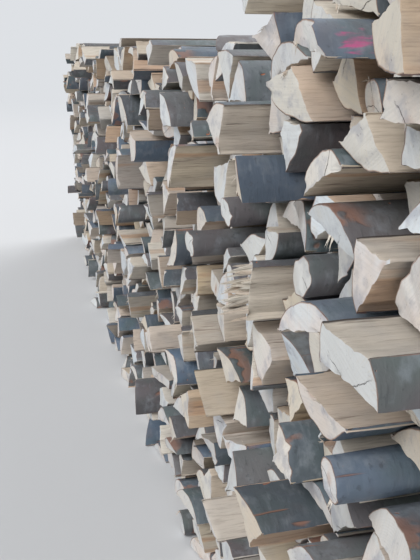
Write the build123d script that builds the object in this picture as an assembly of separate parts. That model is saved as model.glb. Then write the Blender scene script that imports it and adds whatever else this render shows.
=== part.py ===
from build123d import *
import math
import os
import random

import numpy as np

# Stack of split firewood: straight logs laid side by side, one log deep, on level ground.
# X runs along the stack, with its near end at +X. Y runs along the logs, with the front
# at -Y, and Z is up. The origin is on the ground under the middle of the stack.

# Driving sizes of the stack, in millimetres
stack_length = 6250.0
low_part_height = 1665.0
high_part_length = 800.0
high_part_rise = 125.0

# Driving sizes of the logs
log_length = 1000.0
log_length_spread = 20.0
end_stagger = 48.0
most_stagger = 110.0
saw_slant = 9.0

# Stems that the logs are split from
whole_stem_radius = 43.0
halved_stem_radius = 82.0
outer_stem_radius = 104.0
quartered_stem_radius = 112.0
large_stem_radius = 126.0
stem_radius_spread = 0.16
heart_radius = 34.0
slab_thickness = 66.0
out_of_round = 0.12

# How far the bark of a split log reaches to each side of its middle, in degrees
half_reach = (68, 88)
outer_reach = (58, 72)
quarter_reach = (36, 48)
wedge_reach = (25, 34)
blunt_wedge_reach = (27, 38)

# Flat faces that stand for the round of the bark
chords_of_whole = 7
chords_of_half = 4
chords_of_outer = 3
chords_of_wedge = 2

# Where a slab lies in its stem, and how much of its width is left, as shares of the stem
slab_inner_split = (-0.1, 0.3)
slab_outer_limit = 0.86
slab_width = (0.6, 0.85)

# How closely the logs lie
contact_clearance = 0.3
narrow_slot = 55.0
hollow_width = 100.0
nudge_limit = 40.0
course_height = 87.0

# The stacker takes the log that fits best from those at hand
logs_at_hand = 10
profile_step = 6.0
places_tried = 4
cost_of_waste = 1.4
cost_of_height = 0.9
cost_of_slot = 1.0
cost_of_standing = 0.6
cost_over_top = 4.0
resting_side = 0.45
low_wall = 0.33
stacking_seed = 12

# Kinds of split log, with the share of each in the heap
share_of_whole = 4
share_of_half = 26
share_of_outer = 12
share_of_quarter = 24
share_of_wedge = 16
share_of_blunt_wedge = 11
share_of_slab = 7

rng = random.Random(stacking_seed)


def on_stem(radius, degrees):
    angle = math.radians(degrees)
    return (radius * math.cos(angle), radius * math.sin(angle))


def bark(radius, reach, chords):
    """Points along the bark that a log keeps, from one split side to the other."""
    return [on_stem(radius, reach * (2 * step / chords - 1)) for step in range(chords + 1)]


def varied(size):
    return size * rng.uniform(1 - stem_radius_spread, 1 + stem_radius_spread)


def whole_log():
    return bark(varied(whole_stem_radius), 180, chords_of_whole)[:-1]


def half_log():
    return bark(varied(halved_stem_radius), rng.uniform(*half_reach), chords_of_half)


def outer_log():
    """The outside of a stem, crescent shaped, between its bark and one split."""
    return bark(varied(outer_stem_radius), rng.uniform(*outer_reach), chords_of_outer)


def quarter_log():
    return [(0.0, 0.0)] + bark(varied(quartered_stem_radius), rng.uniform(*quarter_reach), chords_of_wedge)


def wedge_log():
    return [(0.0, 0.0)] + bark(varied(large_stem_radius), rng.uniform(*wedge_reach), chords_of_wedge)


def blunt_wedge_log():
    """A wedge that has lost the heart of the stem."""
    reach = rng.uniform(*blunt_wedge_reach)
    split = [on_stem(heart_radius, reach), on_stem(heart_radius, -reach)]
    return split + bark(varied(large_stem_radius), reach, chords_of_wedge)


def slab_log():
    """A board-like log between two splits, with its bark on the two short sides."""
    radius = varied(quartered_stem_radius)
    inner = rng.uniform(*slab_inner_split) * radius
    outer = min(inner + varied(slab_thickness), slab_outer_limit * radius)
    width = rng.uniform(*slab_width)
    wide = width * math.sqrt(radius ** 2 - inner ** 2)
    narrow = width * math.sqrt(radius ** 2 - outer ** 2)
    return [(-wide, inner), (wide, inner), (narrow, outer), (-narrow, outer)]


heap_shares = {
    whole_log: share_of_whole,
    half_log: share_of_half,
    outer_log: share_of_outer,
    quarter_log: share_of_quarter,
    wedge_log: share_of_wedge,
    blunt_wedge_log: share_of_blunt_wedge,
    slab_log: share_of_slab,
}


def next_log():
    """Outline of one log from the heap, stretched and sheared a little, as stems grow."""
    kind = rng.choices(list(heap_shares), list(heap_shares.values()))[0]
    stretch = rng.uniform(1 - out_of_round, 1 + out_of_round)
    shear = rng.uniform(-out_of_round, out_of_round)
    return [(x * stretch + z * shear, z / stretch) for x, z in kind()]


def turned(outline, angle):
    cos, sin = math.cos(angle), math.sin(angle)
    return [(x * cos - z * sin, x * sin + z * cos) for x, z in outline]


def moved(outline, across, up):
    return [(x + across, z + up) for x, z in outline]


def sides(outline):
    return list(zip(outline, outline[1:] + outline[:1]))


def area_of(outline):
    return sum(x0 * z1 - x1 * z0 for (x0, z0), (x1, z1) in sides(outline)) / 2


def box_of(outline):
    """Left, right, bottom and top of an outline."""
    across = [x for x, z in outline]
    up = [z for x, z in outline]
    return min(across), max(across), min(up), max(up)


def edge_line(outline, upper):
    """The lower or upper edge of a convex outline, from its left end to its right end."""
    points = outline[::-1] if upper else outline
    sign = -1 if upper else 1
    start = min(range(len(points)), key=lambda k: (points[k][0], sign * points[k][1]))
    points = points[start:] + points[:start]
    end = max(range(len(points)), key=lambda k: (points[k][0], -sign * points[k][1]))
    return [x for x, z in points[:end + 1]], [z for x, z in points[:end + 1]]


def clear_drop(upper, lower):
    """How far the upper outline can come down before it meets the lower one."""
    upper_x, upper_z = edge_line(upper, False)
    lower_x, lower_z = edge_line(lower, True)
    first = max(upper_x[0], lower_x[0])
    last = min(upper_x[-1], lower_x[-1])
    if first >= last:
        return math.inf
    places = [first, last] + [x for x in upper_x + lower_x if first < x < last]
    heights = np.interp(places, upper_x, upper_z) - np.interp(places, lower_x, lower_z)
    drop = float(heights.min())
    return drop if drop > 0 else math.inf


def sideways(outline, sign):
    """The outline turned a quarter, so that a push to one side becomes a drop."""
    return [(-sign * z, sign * x) for x, z in outline]


def resting_turns(outline, slopes):
    """Turns that lay one of the longer sides along one of the slopes below."""
    longest = max(math.dist(a, b) for a, b in sides(outline))
    turns = []
    for a, b in sides(outline):
        if math.dist(a, b) > resting_side * longest:
            turns += [slope - math.atan2(b[1] - a[1], b[0] - a[0]) for slope in slopes]
    return turns


class Stack:
    """The logs laid so far, and the height of their crest in steps along the stack."""

    def __init__(self):
        self.places = np.arange(0, stack_length + profile_step / 2, profile_step)
        self.crest = np.zeros(len(self.places))
        self.wanted = np.full(len(self.places), low_part_height)
        self.logs = []

    def raise_high_part(self):
        self.wanted[self.places > stack_length - high_part_length] = low_part_height + high_part_rise

    def bridged_crest(self):
        """The crest with the slots that are too narrow for a log bridged over."""
        slot = int(narrow_slot / profile_step) | 1
        walled = np.pad(self.crest, slot - 1, constant_values=self.crest.max())
        window = np.lib.stride_tricks.sliding_window_view
        widest = window(walled, slot).max(axis=1)
        return window(widest, slot).min(axis=1)

    def lowest_hollow(self):
        """The middle of the lowest hollow, and how far below the wanted height it is."""
        width = int(hollow_width / profile_step)
        depth = self.wanted - self.bridged_crest()
        mean = np.convolve(depth, np.ones(width) / width, mode="valid")
        start = int(np.argmax(mean))
        return start + width // 2, float(mean[start])

    def slopes_below(self, middle):
        reach = int(hollow_width / 2 / profile_step)
        floor = self.crest[middle]
        left = self.crest[max(middle - reach, 0)]
        right = self.crest[min(middle + reach, len(self.crest) - 1)]
        return (
            0.0,
            math.atan2(right - left, hollow_width),
            math.atan2(floor - left, hollow_width / 2),
            math.atan2(right - floor, hollow_width / 2),
        )

    def landings(self, outline, middle):
        """For each start over the hollow: how high the outline lands, and the area lost below."""
        lower_x, lower_z = edge_line(outline, False)
        steps = int(math.ceil((lower_x[-1] - lower_x[0]) / profile_step)) + 1
        bottom = np.interp(lower_x[0] + np.arange(steps) * profile_step, lower_x, lower_z)
        first = max(middle - steps + 2, 0)
        last = min(middle, len(self.crest) - steps)
        starts = np.arange(first, last + 1)
        below = self.crest[starts[:, None] + np.arange(steps)]
        rise = (below - bottom).max(axis=1)
        lost = (bottom + rise[:, None] - below).sum(axis=1) * profile_step
        return starts, steps, rise, lost

    def slot_beside(self, index, way, base, height):
        """Area lost in a slot that is too narrow for a log, between a log and the wall by it."""
        for step in range(int(hollow_width / profile_step)):
            place = index + way * step
            if not 0 <= place < len(self.crest):
                return step * profile_step * height
            if self.crest[place] > base + low_wall * height:
                return step * profile_step * min(self.crest[place] - base, height)
        return 0.0

    def best_place(self, outline, turn, middle):
        """The best place over the hollow for a log turned like this, with its cost."""
        lying = turned(outline, turn)
        left, right, low, high = box_of(lying)
        area = area_of(lying)
        starts, steps, rise, lost = self.landings(lying, middle)
        if len(starts) == 0:
            return math.inf, lying
        level = self.crest[middle]
        over_top = np.maximum(rise + high - self.wanted[middle] - course_height / 2, 0)
        cost = cost_of_waste * lost / area + cost_of_height * (rise + (low + high) / 2 - level) / course_height
        cost = cost + cost_over_top * over_top / course_height
        cost = cost + cost_of_standing * max(high - low - right + left, 0.0) / course_height
        best = (math.inf, lying)
        for index in np.argsort(cost)[:places_tried]:
            base = rise[index] + low
            slots = self.slot_beside(starts[index] - 1, -1, base, high - low)
            slots += self.slot_beside(starts[index] + steps, 1, base, high - low)
            total = cost[index] + cost_of_slot * slots / area
            if total < best[0]:
                best = (total, moved(lying, self.places[starts[index]] - left, rise[index]))
        return best

    def near(self, outline):
        left, right, low, high = box_of(outline)
        return [
            log for log, box in self.logs
            if box[0] < right + nudge_limit and box[1] > left - nudge_limit and box[3] > low - nudge_limit
        ]

    def dropped(self, outline, lift):
        """The outline let down from a lift, until it rests on the logs below or the ground."""
        high = moved(outline, 0.0, lift)
        fall = min(z for x, z in high)
        for log in self.near(outline):
            fall = min(fall, clear_drop(high, log) - contact_clearance)
        return moved(high, 0.0, -fall)

    def pushed(self, outline, sign, hollow):
        """The outline pushed against a close neighbour, as far as it still covers the hollow."""
        moving = sideways(outline, sign)
        gaps = [clear_drop(moving, sideways(log, sign)) for log in self.near(outline)]
        gap = min(gaps, default=math.inf)
        if gap > nudge_limit:
            return outline
        left, right, low, high = box_of(outline)
        room = min(left, right - hollow) if sign > 0 else min(stack_length - right, hollow - left)
        return moved(outline, -sign * max(min(gap - contact_clearance, room), 0.0), 0.0)

    def lay(self, outline):
        self.logs.append((outline, box_of(outline)))
        upper_x, upper_z = edge_line(outline, True)
        covered = (self.places >= upper_x[0]) & (self.places <= upper_x[-1])
        top = np.interp(self.places[covered], upper_x, upper_z)
        self.crest[covered] = np.maximum(self.crest[covered], top)


def fill_up(stack, heap):
    """Lay logs where the stack is lowest, as a stacker does, until it is as high as wanted."""
    middle, depth = stack.lowest_hollow()
    while depth > course_height / 2:
        slopes = stack.slopes_below(middle)
        found = []
        for number, outline in enumerate(heap):
            for turn in resting_turns(outline, slopes):
                cost, lying = stack.best_place(outline, turn, middle)
                found.append((cost, number, lying))
        cost, number, lying = min(found)
        laid = stack.dropped(lying, 2 * low_part_height)
        for sign in (1, -1):
            laid = stack.dropped(stack.pushed(laid, sign, stack.places[middle]), 0.0)
        stack.lay(laid)
        heap[number] = next_log()
        middle, depth = stack.lowest_hollow()


def stack_outlines():
    """Outlines of all the logs, first up to one height, then those on top of the high part."""
    stack = Stack()
    heap = [next_log() for log in range(logs_at_hand)]
    fill_up(stack, heap)
    logs_below = len(stack.logs)
    stack.raise_high_part()
    fill_up(stack, heap)
    outlines = [outline for outline, box in stack.logs]
    return outlines[:logs_below], outlines[logs_below:]


def course_of(outline):
    """Name of the course that a log lies in, counted from the ground."""
    left, right, low, high = box_of(outline)
    number = min(int((low + high) / 2 / course_height) + 1, round(low_part_height / course_height))
    return f"course_{number:02d}"


def stagger():
    """How far a log's end stands out of the face of the stack, or in from it."""
    return max(-most_stagger, min(most_stagger, rng.gauss(0.0, end_stagger)))


def saw_cut(outline):
    """Corners of a log's front end, on a slightly slanting cut."""
    slant_across = math.tan(math.radians(rng.uniform(-saw_slant, saw_slant)))
    slant_up = math.tan(math.radians(rng.uniform(-saw_slant, saw_slant)))
    left, right, low, high = box_of(outline)
    middle_x, middle_z = (left + right) / 2, (low + high) / 2
    front = stagger()
    return [
        (x, front + slant_across * (x - middle_x) + slant_up * (z - middle_z), z)
        for x, z in outline
    ]


level_outlines, raised_outlines = stack_outlines()
outlines = level_outlines + raised_outlines
courses = [course_of(outline) for outline in level_outlines] + ["high_part_course"] * len(raised_outlines)
cuts = [saw_cut(outline) for outline in outlines]
lengths = [log_length + rng.uniform(-log_length_spread, log_length_spread) for outline in outlines]

# The origin goes under the middle of what the logs take up
left_end = min(x for cut in cuts for x, y, z in cut)
right_end = max(x for cut in cuts for x, y, z in cut)
front_most = min(y for cut in cuts for x, y, z in cut)
back_most = max(y + length for cut, length in zip(cuts, lengths) for x, y, z in cut)
middle_x = (left_end + right_end) / 2
middle_y = (front_most + back_most) / 2

nodes = {}
for course, cut, length in zip(courses, cuts, lengths):
    front_end = Face(Wire.make_polygon([Vector(x - middle_x, y - middle_y, z) for x, y, z in cut]))
    nodes.setdefault(course, []).append(Solid.extrude(front_end, Vector(0, length, 0)))

os.makedirs("parts", exist_ok=True)
for name, logs in sorted(nodes.items()):
    export_step(Compound(logs), f"parts/{name}.step")
    print(f"{name}: {len(logs)} logs")
print(f"{len(outlines)} logs, {right_end - left_end:.0f} x {back_most - front_most:.0f} mm on the ground")
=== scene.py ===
import bpy
import math
import random
import numpy as np
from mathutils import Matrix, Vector


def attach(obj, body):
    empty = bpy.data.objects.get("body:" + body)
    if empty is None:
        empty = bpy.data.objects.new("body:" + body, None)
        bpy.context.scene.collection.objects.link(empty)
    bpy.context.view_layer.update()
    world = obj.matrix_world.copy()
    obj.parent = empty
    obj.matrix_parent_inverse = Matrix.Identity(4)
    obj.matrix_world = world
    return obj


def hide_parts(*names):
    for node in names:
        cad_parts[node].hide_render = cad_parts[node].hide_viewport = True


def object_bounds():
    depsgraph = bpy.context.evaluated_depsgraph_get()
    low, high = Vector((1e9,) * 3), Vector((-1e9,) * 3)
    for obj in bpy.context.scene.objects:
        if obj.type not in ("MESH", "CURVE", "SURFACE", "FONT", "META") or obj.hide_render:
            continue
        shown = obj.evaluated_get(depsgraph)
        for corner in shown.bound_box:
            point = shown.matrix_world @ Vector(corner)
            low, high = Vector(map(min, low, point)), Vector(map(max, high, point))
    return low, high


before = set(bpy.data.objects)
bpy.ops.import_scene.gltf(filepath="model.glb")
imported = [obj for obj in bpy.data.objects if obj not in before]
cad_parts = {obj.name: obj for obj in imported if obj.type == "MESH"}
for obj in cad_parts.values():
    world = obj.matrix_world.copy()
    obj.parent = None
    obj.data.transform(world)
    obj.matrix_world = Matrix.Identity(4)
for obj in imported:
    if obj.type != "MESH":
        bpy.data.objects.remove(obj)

cadLow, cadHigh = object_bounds()
print("stage: frame loaded")


# The camera stands past the near end of the stack and looks along its front

photoCamera = {
    "focalPixels": 750.0,
    "imageHeight": 560,
    "eyeHeight": 1.65,
    "pastNearEnd": 0.74,      # metres beyond the near end
    "inFront": 1.01,          # metres in front of the middle of the logs
    "yaw": 14.1,              # degrees turned towards the stack
    "pitch": 16.9,            # degrees looking down
    "clipStart": 0.05,
}


def placeCamera(setting):
    yaw, pitch = math.radians(setting["yaw"]), math.radians(setting["pitch"])
    look = Vector((-math.cos(yaw) * math.cos(pitch), math.sin(yaw) * math.cos(pitch), -math.sin(pitch)))
    data = bpy.data.cameras.new("photoCamera")
    data.lens = data.sensor_width * setting["focalPixels"] / setting["imageHeight"]
    data.clip_start = setting["clipStart"]
    camera = bpy.data.objects.new("photoCamera", data)
    bpy.context.scene.collection.objects.link(camera)
    camera.location = (cadHigh.x + setting["pastNearEnd"], -setting["inFront"], setting["eyeHeight"])
    camera.rotation_euler = look.to_track_quat("-Z", "Y").to_euler()
    bpy.context.scene.camera = camera
    return camera.location.copy()


eye = placeCamera(photoCamera)


# Materials

class Wire:
    # a shader value that can be used in ordinary sums
    def __init__(self, nodes, socket):
        self.nodes = nodes
        self.socket = socket

    def maths(self, operation, *values):
        return self.nodes.add("ShaderNodeMath", {"operation": operation}, dict(enumerate(values)))["Value"]

    def __add__(self, other):
        return self.maths("ADD", self, other)

    def __sub__(self, other):
        return self.maths("SUBTRACT", self, other)

    def __rsub__(self, other):
        return self.maths("SUBTRACT", other, self)

    def __mul__(self, other):
        return self.maths("MULTIPLY", self, other)

    def __truediv__(self, other):
        return self.maths("DIVIDE", self, other)

    def __rtruediv__(self, other):
        return self.maths("DIVIDE", other, self)

    def __pow__(self, other):
        return self.maths("POWER", self, other)

    def __gt__(self, other):
        return self.maths("GREATER_THAN", self, other)

    def __lt__(self, other):
        return self.maths("LESS_THAN", self, other)

    __radd__ = __add__
    __rmul__ = __mul__

    def sine(self):
        return self.maths("SINE", self)

    def cosine(self):
        return self.maths("COSINE", self)

    def angleTo(self, across):
        return self.maths("ARCTAN2", self, across)

    def size(self):
        return self.maths("ABSOLUTE", self)

    def fraction(self):
        return self.maths("FRACT", self)

    def larger(self, other):
        return self.maths("MAXIMUM", self, other)

    def between(self, low, high, lowValue=0.0, highValue=1.0):
        # a soft step from one value to another
        settings = {"interpolation_type": "SMOOTHSTEP"}
        sockets = {"Value": self, "From Min": low, "From Max": high, "To Min": lowValue, "To Max": highValue}
        return self.nodes.add("ShaderNodeMapRange", settings, sockets)["Result"]


def paint(red, green, blue):
    # a colour as it is seen, 0 to 255, turned into light for a socket
    seen = [channel / 255 for channel in (red, green, blue)]
    return tuple(s / 12.92 if s < 0.04045 else ((s + 0.055) / 1.055) ** 2.4 for s in seen) + (1.0,)


class Nodes:
    # the nodes of a material or of the sky, and the ways to add to them
    def __init__(self, tree):
        self.tree = tree

    def add(self, kind, settings=None, sockets=None):
        node = self.tree.nodes.new(kind)
        for key, value in (settings or {}).items():
            setattr(node, key, value)
        for key, value in (sockets or {}).items():
            self.feed(node.inputs[key], value)
        return {output.name: Wire(self, output) for output in node.outputs if output.enabled}

    def feed(self, socket, value):
        if isinstance(value, Wire):
            self.tree.links.new(value.socket, socket)
        else:
            socket.default_value = value

    def blend(self, share, first, second):
        # the colour sockets of a mix are its seventh and eighth
        return self.add("ShaderNodeMix", {"data_type": "RGBA"}, {0: share, 6: first, 7: second})["Result"]

    def mixShader(self, share, first, second):
        return self.add("ShaderNodeMixShader", None, {0: share, 1: first, 2: second})["Shader"]

    def vector(self, operation, first, second):
        return self.add("ShaderNodeVectorMath", {"operation": operation}, {0: first, 1: second})["Vector"]

    def length(self, vector):
        return self.add("ShaderNodeVectorMath", {"operation": "LENGTH"}, {0: vector})["Value"]

    def point(self, x, y, z):
        return self.add("ShaderNodeCombineXYZ", None, {0: x, 1: y, 2: z})["Vector"]

    def noise(self, place, scale, detail=3.0, rough=0.55, bend=0.0):
        sockets = {"Vector": place, "Scale": scale, "Detail": detail, "Roughness": rough, "Distortion": bend}
        return self.add("ShaderNodeTexNoise", None, sockets)["Fac"]

    def attribute(self, name):
        return self.add("ShaderNodeAttribute", {"attribute_name": name})


class Finish(Nodes):
    # one material
    def __init__(self, name):
        self.material = bpy.data.materials.new(name)
        self.material.use_nodes = True
        super().__init__(self.material.node_tree)
        self.shader = self.tree.nodes["Principled BSDF"]

    def logFacts(self):
        # a place in the log's own wood, and the numbers that make each log differ
        traits = self.add("ShaderNodeSeparateColor", None, {0: self.attribute("traits")["Color"]})
        seed = self.attribute("traits")["Alpha"]
        shift = self.point(seed * 31.0, seed * 57.0, seed * 83.0)
        place = self.vector("ADD", self.attribute("stem")["Vector"], shift)
        return place, traits["Red"], traits["Green"], traits["Blue"], seed

    def fromStem(self, axis):
        # metres from the middle of the stem: X across, Y along it and Z up
        return self.add("ShaderNodeSeparateXYZ", None, {0: self.attribute("stem")["Vector"]})[axis]

    def bump(self, height, distance):
        sockets = {"Height": height, "Distance": distance, "Strength": 1.0}
        self.feed(self.shader.inputs["Normal"], self.add("ShaderNodeBump", None, sockets)["Normal"])

    def done(self, colour, roughness):
        self.feed(self.shader.inputs["Base Color"], colour)
        self.feed(self.shader.inputs["Roughness"], roughness)
        return self.material


sawnLook = {
    "cream": paint(201, 197, 189),
    "pale": paint(196, 204, 210),
    "pink": paint(203, 194, 189),
    "ochre": paint(190, 173, 144),
    "grey": paint(160, 159, 158),
    "heart": paint(172, 140, 118),
    "knot": paint(120, 82, 66),
    "stain": paint(134, 136, 148),
    "fleck": paint(92, 84, 80),
    "crack": paint(58, 50, 46),
    "innerBark": paint(134, 98, 76),
    "barkEdge": paint(72, 66, 62),
    "ringPace": 1500.0,          # radians a metre, so a growth ring in 4 mm
    "ringWander": 9.0,
    "ringShow": (0.015, 0.06),   # faintest and clearest rings
    "rayShow": 0.22,
    "heartShow": 0.5,
    "stainShow": 0.5,
    "knotShare": 0.16,           # ends with a knot
    "knotOut": 0.035,            # metres from the pith to the knot
    "fleckScale": 210.0,
    "sawPace": (260.0, 9.0),     # saw marks in a metre, across them and along them
    "sawShow": 0.2,
    "crackTurns": (0.37, 0.71, 0.13),  # where cracks may be, as parts of a turn
    "crackShare": 0.6,           # of them, how many show
    "crackWidth": 0.0002,
    "crackShow": 0.7,
    "relief": 0.0012,
    "roughness": 0.78,
}


def sawMarksOn(finish, across, up, seed, look):
    # saw marks run across each end in their own direction
    turn = seed * 60.0
    along = across * turn.cosine() + up * turn.sine()
    sideways = up * turn.cosine() - across * turn.sine()
    close, far = look["sawPace"]
    return finish.noise(finish.point(along * close, sideways * far, seed * 20.0), 1.0, 2.0)


def fromKnotOn(across, up, seed, look):
    # metres from the middle of the knot
    turn = seed * 44.0
    knotAcross = across - turn.cosine() * look["knotOut"]
    knotUp = up - turn.sine() * look["knotOut"]
    return (knotAcross * knotAcross + knotUp * knotUp) ** 0.5


def dryingCracks(finish, place, angle, fromPith, seed, look):
    # cracks that follow the rays
    wander = (finish.noise(place, 20.0, 4.0, 0.6) - 0.5) * 0.1
    width = look["crackWidth"] / (fromPith + 0.004)
    cracks = None
    for step in look["crackTurns"]:
        turned = angle / (2 * math.pi) + seed * 7.0 + step + wander
        aside = (turned.fraction() - 0.5).size()
        reach = fromPith.between(0.015 + 0.045 * step, 0.04 + 0.075 * step, 1.0, 0.0)
        one = (aside / width).between(0.35, 1.0, 1.0, 0.0) * reach
        one = one * ((seed * 13.0 + step * 5.0).fraction() > 1 - look["crackShare"])
        cracks = one if cracks is None else cracks.larger(one)
    return cracks


def sawnEnd(look):
    finish = Finish("sawnBeechEnd")
    place, tone, tint, cast, seed = finish.logFacts()
    across, up = finish.fromStem("X"), finish.fromStem("Z")
    fromPith = (across * across + up * up) ** 0.5
    angle = up.angleTo(across)

    broad = finish.noise(place, 9.0, 3.0)
    fine = finish.noise(place, 60.0, 4.0, 0.6)
    colour = finish.blend(tone, look["cream"], look["pale"])
    colour = finish.blend(cast.between(0.3, 0.9) * broad.between(0.35, 0.6), colour, look["pink"])
    colour = finish.blend((tint - 0.6).larger(0.0) * 1.4, colour, look["ochre"])
    colour = finish.blend((0.3 - tint).larger(0.0) * 1.4, colour, look["grey"])

    # growth rings and the rays that cross them
    bend = finish.noise(place, 14.0, 2.0) * look["ringWander"]
    rings = ((fromPith * look["ringPace"] + bend).sine() * 0.5 + 0.5) ** 2.0
    colour = finish.blend(rings * cast.between(0.1, 0.9, *look["ringShow"]), colour, look["ochre"])
    rays = finish.noise(finish.point(angle * 9.0, fromPith * 14.0, seed * 40.0), 3.0, 2.0)
    colour = finish.blend(rays.between(0.5, 0.8) * look["rayShow"], colour, look["ochre"])

    # a darker heart in some logs, and blue-grey stain
    heartSize = (cast - 0.55).larger(0.0) * 0.14
    heart = (fromPith - broad * 0.05 + 0.02).between(0.0, 0.012, 1.0, 0.0) * (heartSize > 0.001)
    heart = heart * (fromPith - heartSize - broad * 0.03).between(-0.01, 0.01, 1.0, 0.0)
    colour = finish.blend(heart * look["heartShow"], colour, look["heart"])
    stain = finish.noise(finish.vector("ADD", place, (3.1, 7.7, 1.3)), 16.0, 4.0, 0.6)
    stained = stain.between(0.5, 0.66)
    colour = finish.blend(stained * look["stainShow"], colour, look["stain"])
    colour = finish.blend(broad.between(0.5, 0.8) * 0.35, colour, look["ochre"])

    # a knot in some ends, and small dark flecks where the wood has turned
    fromKnot = fromKnotOn(across, up, seed, look) + (fine - 0.5) * 0.008
    hasKnot = seed < look["knotShare"]
    colour = finish.blend(fromKnot.between(0.006, 0.024, 1.0, 0.0) * hasKnot * 0.7, colour, look["heart"])
    colour = finish.blend(fromKnot.between(0.002, 0.009, 1.0, 0.0) * hasKnot * 0.85, colour, look["knot"])
    flecks = finish.noise(finish.vector("ADD", place, (9.1, 2.7, 6.3)), look["fleckScale"], 2.0, 0.5)
    colour = finish.blend(flecks.between(0.64, 0.72) * (stained * 0.5 + 0.2), colour, look["fleck"])

    sawMarks = sawMarksOn(finish, across, up, seed, look)
    colour = finish.blend(sawMarks.between(0.42, 0.7) * look["sawShow"], colour, look["grey"])
    cracks = dryingCracks(finish, place, angle, fromPith, seed, look)
    colour = finish.blend(cracks * look["crackShow"], colour, look["crack"])

    # the cut edge of the bark
    rim = finish.attribute("rim")["Fac"] * broad.between(0.3, 0.55, 0.55, 1.0)
    colour = finish.blend(rim.between(0.35, 0.6) * 0.7, colour, look["innerBark"])
    colour = finish.blend(rim.between(0.65, 0.9), colour, look["barkEdge"])
    finish.bump(sawMarks * 0.5 + fine * 0.5 - cracks * 2.2 - rings * 0.06, look["relief"])
    return finish.done(colour, look["roughness"] - fine * 0.12)


splitLook = {
    "tan": paint(185, 171, 152),
    "pale": paint(214, 208, 197),
    "pink": paint(187, 171, 160),
    "orange": paint(176, 134, 98),
    "olive": paint(174, 157, 122),
    "grey": paint(152, 151, 151),
    # painted shade, laid into the grain's low places and the seams of a split side
    "shadow": paint(112, 98, 88),
    "bark": paint(60, 54, 52),
    "lengthwise": (1.0, 0.06, 1.0),  # stretches the grain along the log
    "grainScale": 240.0,
    "grainShade": 0.34,
    "bandScale": 42.0,
    "stripeScale": 17.0,
    "seamScale": 75.0,
    "seamShade": 0.5,
    "relief": 0.0022,
    "roughness": 0.82,
}


def splitSide(look):
    finish = Finish("splitBeechSide")
    place, tone, tint, cast, seed = finish.logFacts()
    lengthwise = finish.vector("MULTIPLY", place, look["lengthwise"])
    grain = finish.noise(lengthwise, look["grainScale"], 4.0, 0.65)
    bands = finish.noise(lengthwise, look["bandScale"], 3.0, 0.55)
    broad = finish.noise(place, 7.0, 3.0)
    colour = finish.blend(tone, look["tan"], look["pale"])
    colour = finish.blend(cast.between(0.45, 0.9) * 0.55, colour, look["pink"])
    colour = finish.blend((tint - 0.68).larger(0.0) * 1.9, colour, look["orange"])
    colour = finish.blend((seed - 0.75).larger(0.0) * 2.4, colour, look["olive"])
    colour = finish.blend((0.4 - tint).larger(0.0) * 1.2, colour, look["grey"])

    # stripes, bands and fine grain; the grain's low places and the dark seams between torn layers are painted
    # shade
    shifted = finish.vector("ADD", lengthwise, (4.0, 0.0, 8.0))
    stripes = finish.noise(shifted, look["stripeScale"], 2.0, 0.5)
    colour = finish.blend(stripes.between(0.55, 0.63) * seed.between(0.3, 0.7) * 0.6, colour, look["orange"])
    colour = finish.blend(bands.between(0.5, 0.75) * 0.25, colour, look["pink"])
    colour = finish.blend(broad.between(0.45, 0.75) * 0.4, colour, look["grey"])
    # painted shade where the grain lies low
    colour = finish.blend(grain.between(0.3, 0.55, look["grainShade"], 0.0), colour, look["shadow"])
    shifted = finish.vector("ADD", lengthwise, (7.0, 0.0, 2.0))
    seams = finish.noise(shifted, look["seamScale"], 3.0, 0.6)
    # painted shade in the seams between torn layers
    colour = finish.blend(seams.between(0.62, 0.7) * look["seamShade"], colour, look["shadow"])

    rim = finish.attribute("rim")["Fac"]
    colour = finish.blend(rim.between(0.3, 0.7), colour, look["bark"])
    finish.bump(grain * 0.6 + bands - seams.between(0.6, 0.72) * 0.6, look["relief"])
    return finish.done(colour, look["roughness"] - grain * 0.15)


barkLook = {
    "slate": paint(79, 88, 95),
    "grey": paint(108, 106, 106),
    # partly the bark's own blue-grey, partly painted sky light
    "blue": paint(91, 111, 134),
    "brown": paint(95, 85, 87),
    "green": paint(83, 99, 96),
    "lichen": paint(140, 147, 154),
    "dark": paint(52, 53, 57),
    "worn": paint(142, 100, 80),
    "knocked": paint(176, 108, 74),
    "markPaint": paint(196, 66, 128),
    "patchScale": 18.0,
    "spotScale": 70.0,
    "markScale": 120.0,
    "streakScale": 60.0,
    "knockScale": 38.0,
    "scratchScale": 45.0,
    "tornShare": 0.22,           # logs whose bark is torn back near the sawn end
    "smearPlace": (2.804, -0.522, 1.664),
    "smearReach": (0.06, 0.030, 0.022),
    "relief": 0.0022,
    "roughness": 0.72,
}


def paintSmear(finish, place, look):
    # how far a point is from the middle of the smear, and how much paint is on it
    offset = finish.vector("SUBTRACT", finish.add("ShaderNodeTexCoord")["Object"], look["smearPlace"])
    away = finish.length(finish.vector("DIVIDE", offset, look["smearReach"]))
    brushed = finish.noise(finish.vector("MULTIPLY", place, (1.0, 0.25, 1.0)), 95.0, 3.0, 0.6)
    smear = (away + (brushed - 0.5) * 2.4).between(0.35, 1.05, 0.7, 0.0)
    return away, smear * brushed.between(0.35, 0.6, 1.0, 0.35)


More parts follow.
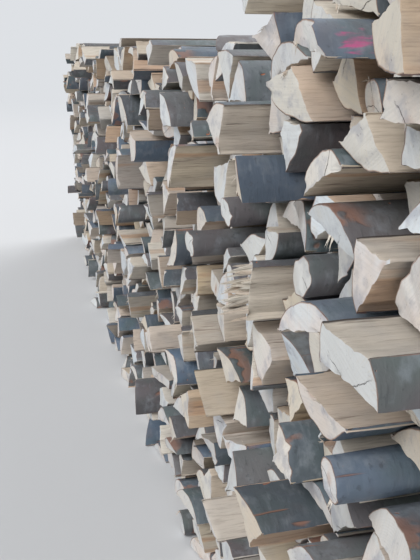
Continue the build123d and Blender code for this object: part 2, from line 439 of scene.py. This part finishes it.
def beechBark(look):
    finish = Finish("beechBark")
    place, tone, tint, cast, seed = finish.logFacts()
    patches = finish.noise(place, look["patchScale"], 4.0, 0.6)
    spots = finish.noise(finish.vector("ADD", place, (5.0, 1.0, 9.0)), look["spotScale"], 3.0, 0.6)
    broad = finish.noise(place, 6.0, 2.0)
    colour = finish.blend(tone, look["slate"], look["grey"])
    # some logs turn blue: partly the bark's own blue-grey, partly painted sky light
    colour = finish.blend((cast - 0.5).larger(0.0) * 1.6, colour, look["blue"])
    colour = finish.blend((0.45 - cast).larger(0.0) * 1.7, colour, look["brown"])
    colour = finish.blend(broad.between(0.4, 0.7) * 0.6, colour, look["green"])
    wash = finish.noise(finish.vector("ADD", place, (2.0, 6.0, 3.0)), 11.0, 2.0)
    colour = finish.blend(wash.between(0.5, 0.7) * 0.4, colour, look["brown"])
    colour = finish.blend(patches.between(0.5, 0.7) * 0.4, colour, look["lichen"])
    colour = finish.blend(spots.between(0.6, 0.72) * 0.4, colour, look["dark"])
    colour = finish.blend(tint.between(0.5, 1.0) * 0.5, colour, look["dark"])

    # short marks and pale streaks that run round the stem
    marks = finish.noise(finish.vector("MULTIPLY", place, (0.25, 1.0, 0.25)), look["markScale"], 2.0)
    colour = finish.blend(marks.between(0.62, 0.72) * 0.3, colour, look["dark"])
    streaks = finish.noise(finish.vector("MULTIPLY", place, (0.3, 1.0, 0.3)), look["streakScale"], 3.0, 0.6)
    colour = finish.blend(streaks.between(0.55, 0.75) * 0.25, colour, look["lichen"])

    # knocks, scratches and the worn edge
    knocks = finish.noise(finish.vector("ADD", place, (8.0, 3.0, 5.0)), look["knockScale"], 2.0, 0.5, 0.4)
    knocked = knocks.between(0.73, 0.77)
    colour = finish.blend(knocked * 0.8, colour, look["knocked"])
    scratched = finish.vector("MULTIPLY", place, (1.0, 0.1, 0.5))
    worn = finish.noise(scratched, look["scratchScale"], 2.0, 0.5, 0.6).between(0.68, 0.74)
    colour = finish.blend(worn * 0.7, colour, look["worn"])
    rim = finish.attribute("rim")["Fac"]
    colour = finish.blend(rim.between(0.5, 0.95) * patches.between(0.4, 0.6) * 0.6, colour, look["worn"])

    # bark torn back near the sawn end in some logs, but not where the paint is
    fromSmear, smear = paintSmear(finish, place, look)
    nearEnd = (finish.fromStem("Y") + patches * 0.06).between(0.05, 0.1, 1.0, 0.0)
    torn = (wash + patches * 0.25).between(0.66, 0.7) * nearEnd
    torn = torn * (seed > 1 - look["tornShare"]) * fromSmear.between(3.0, 5.0)
    colour = finish.blend(torn * 0.6, colour, look["worn"])
    colour = finish.blend(smear, colour, look["markPaint"])
    finish.bump(patches * 0.5 + spots * 0.4 + marks * 0.35 - worn - knocked - torn * 0.6, look["relief"])
    return finish.done(colour, look["roughness"] - patches * 0.2)


sawnKind, splitKind, barkKind = range(3)
materials = [sawnEnd(sawnLook), splitSide(splitLook), beechBark(barkLook)]
print("stage: materials")


# The logs take their places and their rough outlines from the frame

logShape = {
    "seed": 31,
    "gap": 0.0022,            # kept clear of the neighbours, metres
    "nearby": 0.012,          # logs this close count as neighbours
    "barkTurn": 61,           # degrees, a corner that turns less lies on bark
    "barkRise": 0.12,         # how far the bark on one side alone bulges, in widths
    "farthestPith": 0.12,     # metres from the middle of a log
    "cornerEase": 0.0045,     # half width of a rounded corner
    "cornerShare": 0.2,       # the most of a side that a corner takes
    "roundedBy": 0.6,
    "easings": 3,             # times that bark is smoothed
    "easedBy": 0.5,
    "hollow": 0.0035,         # how far a split side may dip
    "dip": (-0.25, 1.0),      # how much of that a log gets, below zero it bulges
    "ridges": 0.0022,         # height of the ridges on a split side
    "ridgePace": (100, 9),    # round a log and along it
    "billows": 0.0015,        # height of the broader waves on a split side
    "billowPace": (28, 55),
    "swelling": 0.0018,       # height of the waves in the bark
    "swellingPace": (55, 17),
    "ragged": 0.0006,         # small unevenness all over
    "edgeWear": 0.0008,       # how far the edge of an end is worn back
    "onGround": 0.0004,       # no log reaches lower than this
    "sweep": 0.003,           # how far a log bends
    "thinner": 0.03,          # how much a log tapers to the back
    "endRim": 0.0055,         # width of the outer ring of faces on an end
    "backRings": 2,
    "sharpFrom": 40,          # degrees
}
sawShape = {
    "tilt": 0.06,             # usual slope of a sawn end
    "obliqueShare": 0.2,      # logs that are cut clearly slanting
    "oblique": (0.15, 0.42),  # how steep those cuts are
    "waves": 0.0012,
    "wavePace": (45, 50),     # across an end and up it
    "stepShare": 0.3,         # ends where two cuts meet in a step
    "stepHeight": 0.005,
    "stepLeast": 0.4,         # lowest step, as a share of the highest
    "stepOff": 0.02,          # farthest from the middle of the end
    "stepWidth": 0.012,
    "chipShare": 0.45,        # ends with chipped edges
    "chips": (1, 3),
    "chipReach": (0.008, 0.019),
    "chipDepth": (0.003, 0.010),
}
tornFibres = {
    "share": 0.22,            # ends with a tuft of torn fibres on the edge
    "tuft": (3, 8),           # fibres in a tuft
    "tuftReach": 2.5,         # points of the edge that a tuft spreads over
    "length": (0.006, 0.024),
    "width": 0.0012,
    "widths": (0.5, 1.3),     # thinnest and thickest, in usual widths
    "outward": 0.6,           # how much a tuft leans out of the edge
    "forward": (-0.9, -0.1),  # and out of the end
    "lean": 0.4,              # how far a tuft leans aside
    "spread": 0.2,            # how far its fibres lie apart
    "sag": 0.2,               # how far a fibre bends, in lengths
    "corners": (0, 2.1, 4.2),  # radians round a fibre
    "rootDepth": 0.002,
    "flatness": 0.6,
    "waistAt": 0.55,          # where a fibre starts to run to its point
    "waistWidth": 0.7,
    "waistBend": 0.4,
    "onGround": 0.0006,
    "tornEnd": (2.412, 1.178),  # across and up, the end that broke instead of being cut
    "tornNear": 0.03,
    "tornCount": 46,
    "tornSpread": (0.05, 0.97),
    "tornLength": (0.02, 0.07),
    "tornWidth": (0.003, 0.008),
    "tornAcross": (-0.25, 0.09),  # usual slope of a splinter, and how far slopes differ
    "tornUp": (-0.1, 0.07),
    "tornSag": 0.08,
    "tones": (0.5, 1.0),
    "tints": (0.3, 0.85),
    "castAndSeed": (0.3, 0.5),
}
fullTurn = 6.28               # radians, for a heading that may be any
chance = random.Random(logShape["seed"])


def looseLogs(mesh):
    # the separate solids of a course, as the corners of each
    flat = np.empty(len(mesh.vertices) * 3)
    mesh.vertices.foreach_get("co", flat)
    # points at the same place count as one corner
    corners, same = np.unique(flat.reshape(-1, 3).round(6) + 0.0, axis=0, return_inverse=True)
    same = same.reshape(-1)
    edges = np.empty(len(mesh.edges) * 2, dtype=np.int64)
    mesh.edges.foreach_get("vertices", edges)
    edges = same[edges.reshape(-1, 2)]
    group = np.arange(len(corners))
    while True:
        lowest = np.minimum(group[edges[:, 0]], group[edges[:, 1]])
        spread = group.copy()
        np.minimum.at(spread, edges[:, 0], lowest)
        np.minimum.at(spread, edges[:, 1], lowest)
        if (spread == group).all():
            break
        group = spread
    return [corners[group == number] for number in np.unique(group)]


def readLog(corners):
    # a log's outline seen from the front, its cut plane and its length
    middle = corners[:, 1].mean()
    front, back = corners[corners[:, 1] < middle], corners[corners[:, 1] > middle]
    outline = front[:, [0, 2]]
    centre = outline.mean(axis=0)
    order = np.argsort(np.arctan2(outline[:, 1] - centre[1], outline[:, 0] - centre[0]))
    outline, front = outline[order], front[order]
    plane = np.linalg.lstsq(np.c_[np.ones(len(front)), outline - centre], front[:, 1], rcond=None)[0]
    length = back[:, 1].mean() - front[:, 1].mean()
    return {"outline": outline, "centre": centre, "plane": plane, "length": length}


def turnsOf(outline):
    # degrees that an outline turns at each corner
    ahead = np.roll(outline, -1, axis=0) - outline
    heading = np.arctan2(ahead[:, 1], ahead[:, 0])
    return np.degrees((heading - np.roll(heading, 1)) % (2 * math.pi))


def sideLengths(outline):
    return np.linalg.norm(np.roll(outline, -1, axis=0) - outline, axis=1)


def barkEdges(outline):
    # says for each side of an outline whether the bark is on it
    count = len(outline)
    turns = turnsOf(outline)
    sharpest = list(np.argsort(-turns))
    first, second = sharpest[:2]
    if count > 5:
        return [True] * count  # a whole stem
    if count == 5:
        gap = (second - first) % 5
        if gap in (1, 4):
            # a half, with one split side between its two sharpest corners
            flat = first if gap == 1 else second
            return [side != flat for side in range(5)]
        # a wedge, with bark on the two sides between its two sharpest corners
        start = first if gap == 2 else second
        return [side in (start, (start + 1) % 5) for side in range(5)]
    if count == 4:
        mildest = sharpest[-1]
        if turns[sharpest[-2]] < logShape["barkTurn"]:
            # two mild corners, so three sides of bark
            flat = first if (second - first) % 4 == 1 else second
            return [side != flat for side in range(4)]
        if turns[mildest] < logShape["barkTurn"]:
            # a wedge, with bark on the two sides that meet in its mild corner
            return [side in ((mildest - 1) % 4, mildest) for side in range(4)]
        # a slab, with bark on its narrow sides
        lengths = sideLengths(outline)
        short = 0 if lengths[0] + lengths[2] < lengths[1] + lengths[3] else 1
        return [side % 2 == short for side in range(4)]
    return [False] * count


def mirrored(point, start, end):
    # the point on the far side of the middle between two others
    along = (end - start) / np.linalg.norm(end - start)
    return point - 2 * np.dot(point - (start + end) / 2, along) * along


def smoothLine(before, points, after, steps=10):
    # a curve through points, from the first to the last
    path = np.vstack([before, points, after])
    line = []
    for k in range(len(points) - 1):
        a, b, c, d = path[k:k + 4]
        slope, bend, twist = c - a, 2 * a - 5 * b + 4 * c - d, 3 * b - a - 3 * c + d
        for step in range(steps):
            t = step / steps
            line.append(0.5 * (2 * b + slope * t + bend * t ** 2 + twist * t ** 3))
    return np.array(line + [points[-1]])


def runsOf(outline, bark):
    # the outline as bark curves and straight split sides, each from corner to corner
    count = len(outline)
    if all(bark):
        closed = np.vstack([outline, outline[:1]])
        return [(smoothLine(outline[-1], closed, outline[1]), True)]
    start = next(k for k in range(count) if not bark[k - 1])
    order = [(start + k) % count for k in range(count)]
    runs = []
    k = 0
    while k < count:
        span = 1
        while bark[order[k]] and k + span < count and bark[order[k + span]]:
            span += 1
        points = np.array([outline[(order[k] + step) % count] for step in range(span + 1)])
        if not bark[order[k]]:
            runs.append((points, False))
        elif span == 1:
            side = points[1] - points[0]
            rise = np.array([side[1], -side[0]]) * logShape["barkRise"]
            t = np.linspace(0, 1, 9)[:, None]
            runs.append((points[0] + side * t + 4 * rise * t * (1 - t), True))
        else:
            before = mirrored(points[2], points[0], points[1])
            after = mirrored(points[-3], points[-1], points[-2])
            runs.append((smoothLine(before, points, after), True))
        k += span
    return runs


def spaced(line, places):
    # the points of a line at given distances along it
    steps = np.linalg.norm(np.diff(line, axis=0), axis=1)
    passed = np.r_[0, np.cumsum(steps)]
    return np.c_[np.interp(places, passed, line[:, 0]), np.interp(places, passed, line[:, 1])]


def ringOf(runs, around):
    # points round a log, with which of them lie on bark, the corners and how much each may dip
    lengths = [np.linalg.norm(np.diff(line, axis=0), axis=1).sum() for line, _ in runs]
    points, barkSide, corner, dip = [], [], [], []
    for (line, isBark), length in zip(runs, lengths):
        share = max(3, round(around * length / sum(lengths)))
        if len(runs) == 1:
            places = np.linspace(0, length, share, endpoint=False)
            corner += [False] * share
        else:
            ease = min(logShape["cornerEase"], length * logShape["cornerShare"])
            places = np.r_[0, np.linspace(ease, length - ease, share - 1)]
            corner += [True] + [False] * (share - 1)
        points.append(spaced(line, places))
        barkSide += [isBark] * share
        dip.append(np.zeros(share) if isBark else np.sin(math.pi * places / length))
    return np.vstack(points), np.array(barkSide), np.array(corner), np.concatenate(dip)


def normalsOf(points):
    # which way a ring faces at each of its points
    along = np.roll(points, -1, axis=0) - np.roll(points, 1, axis=0)
    along /= np.linalg.norm(along, axis=1)[:, None]
    return np.c_[along[:, 1], -along[:, 0]]


def halfway(ring):
    # for each point, the place halfway between the two beside it
    return (np.roll(ring, 1, axis=0) + np.roll(ring, -1, axis=0)) / 2


def depthIn(outline, points):
    # how deep each point lies inside a convex outline, below zero outside it
    start, side = outline, np.roll(outline, -1, axis=0) - outline
    inward = np.c_[-side[:, 1], side[:, 0]] / np.linalg.norm(side, axis=1)[:, None]
    return ((points[:, None, :] - start[None]) * inward[None]).sum(axis=2).min(axis=1)


def keepClear(points, own, neighbours, gap):
    # bark that swells into a neighbour goes back to this log's own outline
    for other in neighbours:
        inside = depthIn(other, points) > -gap
        if inside.any():
            centre = own.mean(axis=0)
            for k in np.flatnonzero(inside):
                out = -depthIn(own, points[k:k + 1])[0]
                if out > 0:
                    away = points[k] - centre
                    points[k] -= away / np.linalg.norm(away) * out
    return points


def pithOf(outline, bark):
    # the middle of the stem that the log was split from
    centre = outline.mean(axis=0)
    if all(bark) or not any(bark):
        return centre
    first = bark.index(True)
    alone = not bark[(first + 1) % len(bark)] and not bark[first - 1]
    if sum(bark) == 2 and alone:
        # a slab, as if split close to the pith on its longest side
        longest = int(np.argmax(sideLengths(outline)))
        return (outline[longest] + outline[(longest + 1) % len(outline)]) / 2
    # circle through the bark corners
    ring = outline[[k for k in range(len(outline)) if bark[k] or bark[k - 1]]]
    fit = np.linalg.lstsq(np.c_[2 * ring, np.ones(len(ring))], (ring ** 2).sum(axis=1), rcond=None)[0]
    pith = fit[:2]
    away = pith - centre
    far = np.linalg.norm(away)
    return pith if far < logShape["farthestPith"] else centre + away / far * logShape["farthestPith"]


def waves(rng, count, size):
    # a smooth uneven surface as a few long waves
    slowest, fastest, wobble, usualSum = 0.6, 1.4, 1.1, 1.6
    terms = [(rng.uniform(slowest, fastest), rng.uniform(0, fullTurn)) for _ in range(count)]

    def height(u, v):
        total = 0
        for number, (pace, start) in enumerate(terms, 1):
            along = wobble * np.sin(v * pace + start)
            total = total + np.sin(u * pace * number + start + along) / number
        return total * size / usualSum
    return height


detailSteps = [
    # logs near the eye get more points
    {
        "within": 1.75,       # metres from the eye
        "around": 54,         # points round the log
        "stations": (0, .003, .013, .035, .07, .12, .19, .29, .42, .56, .7, .83, .93, .985, 1),
        "rings": 5,           # rings of faces on the front end
    },
    {
        "within": 2.5,
        "around": 34,
        "stations": (0, .003, .016, .05, .11, .2, .34, .52, .7, .86, .96, 1),
        "rings": 3,
    },
    {
        "within": 99.0,
        "around": 20,
        "stations": (0, .004, .03, .1, .25, .5, .75, .92, 1),
        "rings": 2,
    },
]


def fibre(root, direction, length, width, bend):
    # a torn fibre, three-sided and pointed, rooted in the wood
    shape = tornFibres
    along = direction / np.linalg.norm(direction)
    first = np.cross(along, (0.3, 0.2, 0.9))
    first /= np.linalg.norm(first)
    second = np.cross(along, first) * shape["flatness"]
    around = [first * math.cos(turn) + second * math.sin(turn) for turn in shape["corners"]]
    waist = root + along * length * shape["waistAt"] + bend * shape["waistBend"]
    low = [root - along * shape["rootDepth"] + side * width for side in around]
    high = [waist + side * width * shape["waistWidth"] for side in around]
    verts = np.array(low + high + [root + along * length + bend])
    verts[:, 2] = np.maximum(verts[:, 2], shape["onGround"])
    faces = [(2, 1, 0), (0, 1, 4, 3), (1, 2, 5, 4), (2, 0, 3, 5), (3, 4, 6), (4, 5, 6), (5, 3, 6)]
    return verts, faces


def splinters(border, cutAt, rng):
    # an end that is torn all over
    shape = tornFibres
    sag = shape["tornSag"]
    middle = border[:, [0, 2]].mean(axis=0)
    found = []
    for _ in range(shape["tornCount"]):
        corner = border[rng.randrange(len(border))][[0, 2]]
        spot = middle + (corner - middle) * rng.uniform(*shape["tornSpread"])
        root = np.array([spot[0], cutAt(spot[None, :])[0], spot[1]])
        away = np.array([rng.gauss(*shape["tornAcross"]), -1.0, rng.gauss(*shape["tornUp"])])
        length = rng.uniform(*shape["tornLength"])
        bend = np.array([rng.gauss(0, sag), 0.0, rng.gauss(-sag, sag)]) * length
        width = rng.uniform(*shape["tornWidth"])
        found.append(fibre(root, away, length, width, bend))
    return found


def tuft(border, outward, onSplit, rng):
    # a few fibres on the edge of an end, where it was split
    shape = tornFibres
    aside, spread, sag = shape["lean"], shape["spread"], shape["sag"]
    count = len(border)
    places = np.flatnonzero(onSplit) if onSplit.any() else np.arange(count)
    start = places[rng.randrange(len(places))]
    lean = np.array([rng.gauss(0, aside), rng.uniform(*shape["forward"]), rng.gauss(-aside, aside)])
    found = []
    for _ in range(rng.randint(*shape["tuft"])):
        step = rng.uniform(0, shape["tuftReach"])
        k, share = (start + int(step)) % count, step % 1
        root = border[k] * (1 - share) + border[(k + 1) % count] * share
        away = np.array([outward[k, 0], 0.0, outward[k, 1]]) * shape["outward"] + lean
        away = away + np.array([rng.gauss(0, spread), rng.gauss(0, spread), rng.gauss(0, spread)])
        length = rng.uniform(*shape["length"])
        bend = np.array([rng.gauss(0, sag), 0.0, rng.gauss(-sag, sag)]) * length
        width = shape["width"] * rng.uniform(*shape["widths"])
        found.append(fibre(root, away, length, width, bend))
    return found


def fibresOn(border, outward, onSplit, centre, cutAt, rng):
    # splinters on the one broken end, tufts on some others
    if np.linalg.norm(centre - np.array(tornFibres["tornEnd"])) < tornFibres["tornNear"]:
        return splinters(border, cutAt, rng)
    if rng.random() < tornFibres["share"]:
        return tuft(border, outward, onSplit, rng)
    return []


def sectionOf(outline, bark, neighbours, around, rng):
    # the points round a log, which way each faces, and what lies on bark or at a corner
    shape = logShape
    ring, barkSide, corner, dip = ringOf(runsOf(outline, bark), around)
    ring = keepClear(ring, outline, neighbours, shape["gap"])
    rounded = barkSide & ~corner
    for _ in range(shape["easings"]):
        ring[rounded] += (halfway(ring) - ring)[rounded] * shape["easedBy"]
    outward = normalsOf(ring)
    ring = ring - outward * (shape["gap"] + dip * shape["hollow"] * rng.uniform(*shape["dip"]))[:, None]
    ring[corner] += (halfway(ring)[corner] - ring[corner]) * shape["roundedBy"]
    return ring, outward, barkSide, corner


def sawCut(rng):
    # how the saw met the front end: uneven, in a step, and not quite square
    shape = sawShape
    cut = {"wave": waves(rng, 3, shape["waves"])}
    cut["stepTurn"] = rng.uniform(0, fullTurn)
    cut["stepHeight"] = shape["stepHeight"] * rng.uniform(shape["stepLeast"], 1)
    if rng.random() >= shape["stepShare"]:
        cut["stepHeight"] = 0.0
    cut["stepAt"] = rng.uniform(-shape["stepOff"], shape["stepOff"])
    isOblique = rng.random() < shape["obliqueShare"]
    steep = rng.uniform(*shape["oblique"]) if isOblique else abs(rng.gauss(0, shape["tilt"]))
    heading = rng.uniform(0, fullTurn)
    cut["tilt"] = steep * np.array([math.cos(heading), math.sin(heading)])
    return cut


def chipsOn(ring, rng):
    # places on the edge of the front end where wood has broken off
    chips = []
    if rng.random() < sawShape["chipShare"]:
        for _ in range(rng.randint(*sawShape["chips"])):
            spot = ring[rng.randrange(len(ring))]
            chips.append((spot, rng.uniform(*sawShape["chipReach"]), rng.uniform(*sawShape["chipDepth"])))
    return chips


def frontFace(log, cut, chips):
    # gives how far back the front end lies at each point
    plane, centre, tilt = log["plane"], log["centre"], cut["tilt"]
    # a slanting cut only takes wood away
    nearest = ((log["outline"] - centre) @ tilt).min()
    paceAcross, paceUp = sawShape["wavePace"]

    def cutAt(points):
        local = points - centre
        base = plane[0] + local @ (plane[1:] + tilt) - nearest
        for spot, reach, deep in chips:
            base = base + deep * np.clip(1 - ((points - spot) ** 2).sum(axis=1) / reach ** 2, 0, 1)
        turn = cut["stepTurn"]
        across = local[:, 0] * math.cos(turn) + local[:, 1] * math.sin(turn) - cut["stepAt"]
        step = cut["stepHeight"] * np.clip(across / sawShape["stepWidth"], 0, 1)
        return base + cut["wave"](local[:, 0] * paceAcross, local[:, 1] * paceUp) + step
    return cutAt


class Shell:
    # the mesh of one log while it grows
    def __init__(self):
        self.verts, self.rim, self.faces, self.kinds = [], [], [], []
        self.total = 0

    def addPoints(self, points, rim):
        # gives the number of the first new point
        first = self.total
        self.verts.append(points)
        self.rim.append(rim)
        self.total += len(points)
        return first

    def addFaces(self, faces, kinds):
        self.faces += faces
        self.kinds += kinds

    def closeEnd(self, border, last, rings, faceAt, isBack):
        # rings of faces from the edge of an end to its middle
        step = np.arange(len(border))
        ahead = (step + 1) % len(border)
        edge = border[:, [0, 2]]
        middle = edge.mean(axis=0)
        inner = 1 - logShape["endRim"] / np.linalg.norm(edge - middle, axis=1)[:, None]
        for number in range(rings):
            share = inner * (1 - number / rings)
            points = middle + (edge - middle) * share
            new = self.addPoints(np.c_[points[:, 0], faceAt(points), points[:, 1]], np.zeros(len(points)))
            quads = np.c_[last + step, last + ahead, new + ahead, new + step]
            self.addFaces((quads[:, ::-1] if isBack else quads).tolist(), [sawnKind] * len(border))
            last = new
        hub = middle[None, :]
        new = self.addPoints(np.c_[hub[:, 0], faceAt(hub), hub[:, 1]], np.zeros(1))
        fan = np.c_[last + step, last + ahead, np.full(len(border), new)]
        self.addFaces((fan[:, ::-1] if isBack else fan).tolist(), [sawnKind] * len(border))


def dressedLog(log, neighbours):
    # one log with its bark, split sides, sawn ends and torn fibres
    shape = logShape
    rng = random.Random(chance.random())
    outline, plane, length, centre = log["outline"], log["plane"], log["length"], log["centre"]
    away = (Vector((centre[0], plane[0], centre[1])) - eye).length
    detail = next(step for step in detailSteps if away < step["within"])
    stations = detail["stations"]
    bark = barkEdges(outline)
    ring, outward, barkSide, corner = sectionOf(outline, bark, neighbours, detail["around"], rng)
    count = len(ring)
    traits = [rng.random(), rng.random(), rng.random(), rng.random()]
    ridges, swelling = waves(rng, 4, shape["ridges"]), waves(rng, 3, shape["swelling"])
    billows = waves(rng, 3, shape["billows"])
    sweep = np.array([rng.uniform(-1, 1) * shape["sweep"], rng.uniform(-1, 1) * shape["sweep"]])
    taper = rng.uniform(0, shape["thinner"])
    cut = sawCut(rng)
    jitter = np.random.default_rng(rng.randrange(1 << 30))
    cutAt = frontFace(log, cut, chipsOn(ring, rng))
    passed = np.r_[0, np.cumsum(np.linalg.norm(np.diff(ring, axis=0), axis=1))]

    def planeAt(points):
        return plane[0] + (points - centre) @ plane[1:]

    def unevenAt(depth):
        # how far the surface stands out of the section, all round
        ridged = ridges(passed * shape["ridgePace"][0], depth * shape["ridgePace"][1])
        billowed = billows(passed * shape["billowPace"][0], depth * shape["billowPace"][1])
        swollen = swelling(passed * shape["swellingPace"][0], depth * shape["swellingPace"][1])
        split = ridged + billowed - shape["ridges"] - shape["billows"]
        return np.where(barkSide, swollen, split) + jitter.uniform(-1, 1, count) * shape["ragged"]

    # the sides, station by station
    shell = Shell()
    onBark = barkSide | (corner & np.roll(barkSide, 1))
    rimCorner = corner & (barkSide != np.roll(barkSide, 1))
    step = np.arange(count)
    ahead = (step + 1) % count
    for number, share in enumerate(stations):
        atEnd = share in (0, 1)
        uneven = unevenAt(share * length) - (shape["edgeWear"] if atEnd else 0.0)
        points = ring + outward * uneven[:, None]
        points = centre + (points - centre) * (1 - taper * share)
        points = points + sweep * math.sin(math.pi * share)
        points[:, 1] = np.maximum(points[:, 1], shape["onGround"])
        faceAt = cutAt if number < len(stations) // 2 else planeAt
        station = np.c_[points[:, 0], faceAt(points) + share * length, points[:, 1]]
        new = shell.addPoints(station, np.where(onBark if atEnd else rimCorner, 1.0, 0.0))
        if number:
            last = new - count
            quads = np.c_[last + step, new + step, new + ahead, last + ahead]
            shell.addFaces(quads.tolist(), np.where(barkSide, barkKind, splitKind).tolist())

    # the two ends, the torn fibres, and the numbers that the finishes read
    front, back = shell.verts[0], shell.verts[-1]
    shell.closeEnd(front, 0, detail["rings"], cutAt, False)
    shell.closeEnd(back, new, shape["backRings"], lambda points: planeAt(points) + length, True)
    traitRows = [np.tile(traits, (shell.total, 1))]
    for points, sides in fibresOn(front, outward, ~barkSide, centre, cutAt, rng):
        tone, tint = rng.uniform(*tornFibres["tones"]), rng.uniform(*tornFibres["tints"])
        traitRows.append(np.tile((tone, tint, *tornFibres["castAndSeed"]), (len(points), 1)))
        first = shell.addPoints(points, np.zeros(len(points)))
        shell.addFaces([[point + first for point in side] for side in sides], [splitKind] * len(sides))
    pith = pithOf(outline, bark)
    verts = np.vstack(shell.verts)
    return {
        "verts": verts,
        "faces": shell.faces,
        "kinds": shell.kinds,
        "stem": verts - np.array([pith[0], plane[0], pith[1]]),
        "rim": np.concatenate(shell.rim),
        "traits": np.vstack(traitRows),
    }


def buildCourse(name, logs):
    # the logs of a course as one piece, which stands for that node
    mesh = bpy.data.meshes.new(name + "_logs")
    faces, kinds = [], []
    first = 0
    for log in logs:
        faces += [[corner + first for corner in face] for face in log["faces"]]
        kinds += log["kinds"]
        first += len(log["verts"])
    joined = {key: np.concatenate([log[key] for log in logs]) for key in ("verts", "stem", "rim", "traits")}
    mesh.from_pydata(joined["verts"].tolist(), [], faces)
    mesh.polygons.foreach_set("material_index", kinds)
    mesh.attributes.new("stem", "FLOAT_VECTOR", "POINT").data.foreach_set("vector", joined["stem"].ravel())
    mesh.attributes.new("rim", "FLOAT", "POINT").data.foreach_set("value", joined["rim"])
    mesh.attributes.new("traits", "FLOAT_COLOR", "POINT").data.foreach_set("color", joined["traits"].ravel())
    for material in materials:
        mesh.materials.append(material)
    mesh.shade_smooth()
    mesh.set_sharp_from_angle(angle=math.radians(logShape["sharpFrom"]))
    mesh.validate()
    mesh.update()
    piece = bpy.data.objects.new(name + "_logs", mesh)
    bpy.context.scene.collection.objects.link(piece)
    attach(piece, "root")
    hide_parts(name)
    return len(mesh.loop_triangles)


courses = {}
for name, node in sorted(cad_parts.items()):
    courses[name] = [readLog(corners) for corners in looseLogs(node.data)]
everyLog = [log for logs in courses.values() for log in logs]
boxes = np.array([np.r_[log["outline"].min(axis=0), log["outline"].max(axis=0)] for log in everyLog])


def neighboursOf(position):
    # the outlines of the logs that lie against this one
    low, high = boxes[position][:2] - logShape["nearby"], boxes[position][2:] + logShape["nearby"]
    touching = (boxes[:, 2:] > low).all(axis=1) & (boxes[:, :2] < high).all(axis=1)
    touching[position] = False
    return [everyLog[k]["outline"] for k in np.flatnonzero(touching)]


triangles = 0
position = 0
for name, logs in courses.items():
    dressed = []
    for log in logs:
        dressed.append(dressedLog(log, neighboursOf(position)))
        position += 1
    triangles += buildCourse(name, dressed)
print(f"stage: {len(everyLog)} logs, {triangles} triangles")


# Plain studio

studio = {
    "floorSize": 240.0,
    "floorColour": paint(203, 204, 206),
    "floorRoughness": 0.9,
    "backdrop": paint(222, 225, 229),
    "backdropFrom": (6.0, 24.0),   # metres out, where the floor turns into the backdrop
    "skyColour": (0.92, 0.96, 1.0, 1.0),
    "skyStrength": 0.33,
    "lampsOut": 10,                # metres
}
lights = {
    # spread in degrees, wide for soft shadows, and where the light comes from
    "mainLight": {"strength": 2.95, "spread": 46.0, "place": (0.40, -0.66, 0.62)},
    "rearLight": {"strength": 1.95, "spread": 50.0, "place": (-0.45, 0.66, 0.60)},
}


def placeLight(name, setting):
    light = bpy.data.lights.new(name, "SUN")
    light.energy = setting["strength"]
    light.angle = math.radians(setting["spread"])
    lamp = bpy.data.objects.new(name, light)
    lamp.location = Vector(setting["place"]) * studio["lampsOut"]
    lamp.rotation_euler = (-lamp.location).to_track_quat("-Z", "Y").to_euler()
    bpy.context.scene.collection.objects.link(lamp)


def floorFinish(setting):
    # pale floor that fades into the backdrop far out
    finish = Finish("studioFloor")
    away = finish.length(finish.add("ShaderNodeNewGeometry")["Position"])
    glow = finish.add("ShaderNodeEmission", None, {"Color": setting["backdrop"], "Strength": 1.0})["Emission"]
    finish.done(setting["floorColour"], setting["floorRoughness"])
    floor = Wire(finish, finish.shader.outputs[0])
    mixed = finish.mixShader(away.between(*setting["backdropFrom"]), floor, glow)
    finish.feed(finish.tree.nodes["Material Output"].inputs["Surface"], mixed)
    return finish.material


def placeFloor(setting):
    half = setting["floorSize"] / 2
    mesh = bpy.data.meshes.new("studioFloor")
    corners = [(-half, -half, 0), (half, -half, 0), (half, half, 0), (-half, half, 0)]
    mesh.from_pydata(corners, [], [(0, 1, 2, 3)])
    floor = bpy.data.objects.new("studioFloor", mesh)
    bpy.context.scene.collection.objects.link(floor)
    mesh.materials.append(floorFinish(setting))


def placeSky(setting):
    # soft light all round, and the pale backdrop where it is seen
    world = bpy.data.worlds.new("studioSky")
    bpy.context.scene.world = world
    world.use_nodes = True
    sky = Nodes(world.node_tree)
    softLight = sky.tree.nodes["Background"]
    sky.feed(softLight.inputs["Color"], setting["skyColour"])
    sky.feed(softLight.inputs["Strength"], setting["skyStrength"])
    seen = sky.add("ShaderNodeBackground", None, {"Color": setting["backdrop"]})["Background"]
    ray = sky.add("ShaderNodeLightPath")
    isSeen = ray["Is Camera Ray"].larger(ray["Is Glossy Ray"]).larger(ray["Is Transmission Ray"])
    mixed = sky.mixShader(isSeen, Wire(sky, softLight.outputs[0]), seen)
    sky.feed(sky.tree.nodes["World Output"].inputs["Surface"], mixed)


placeFloor(studio)
placeSky(studio)
for name, setting in lights.items():
    placeLight(name, setting)
bpy.context.scene.view_settings.view_transform = "Standard"
print("stage: studio")
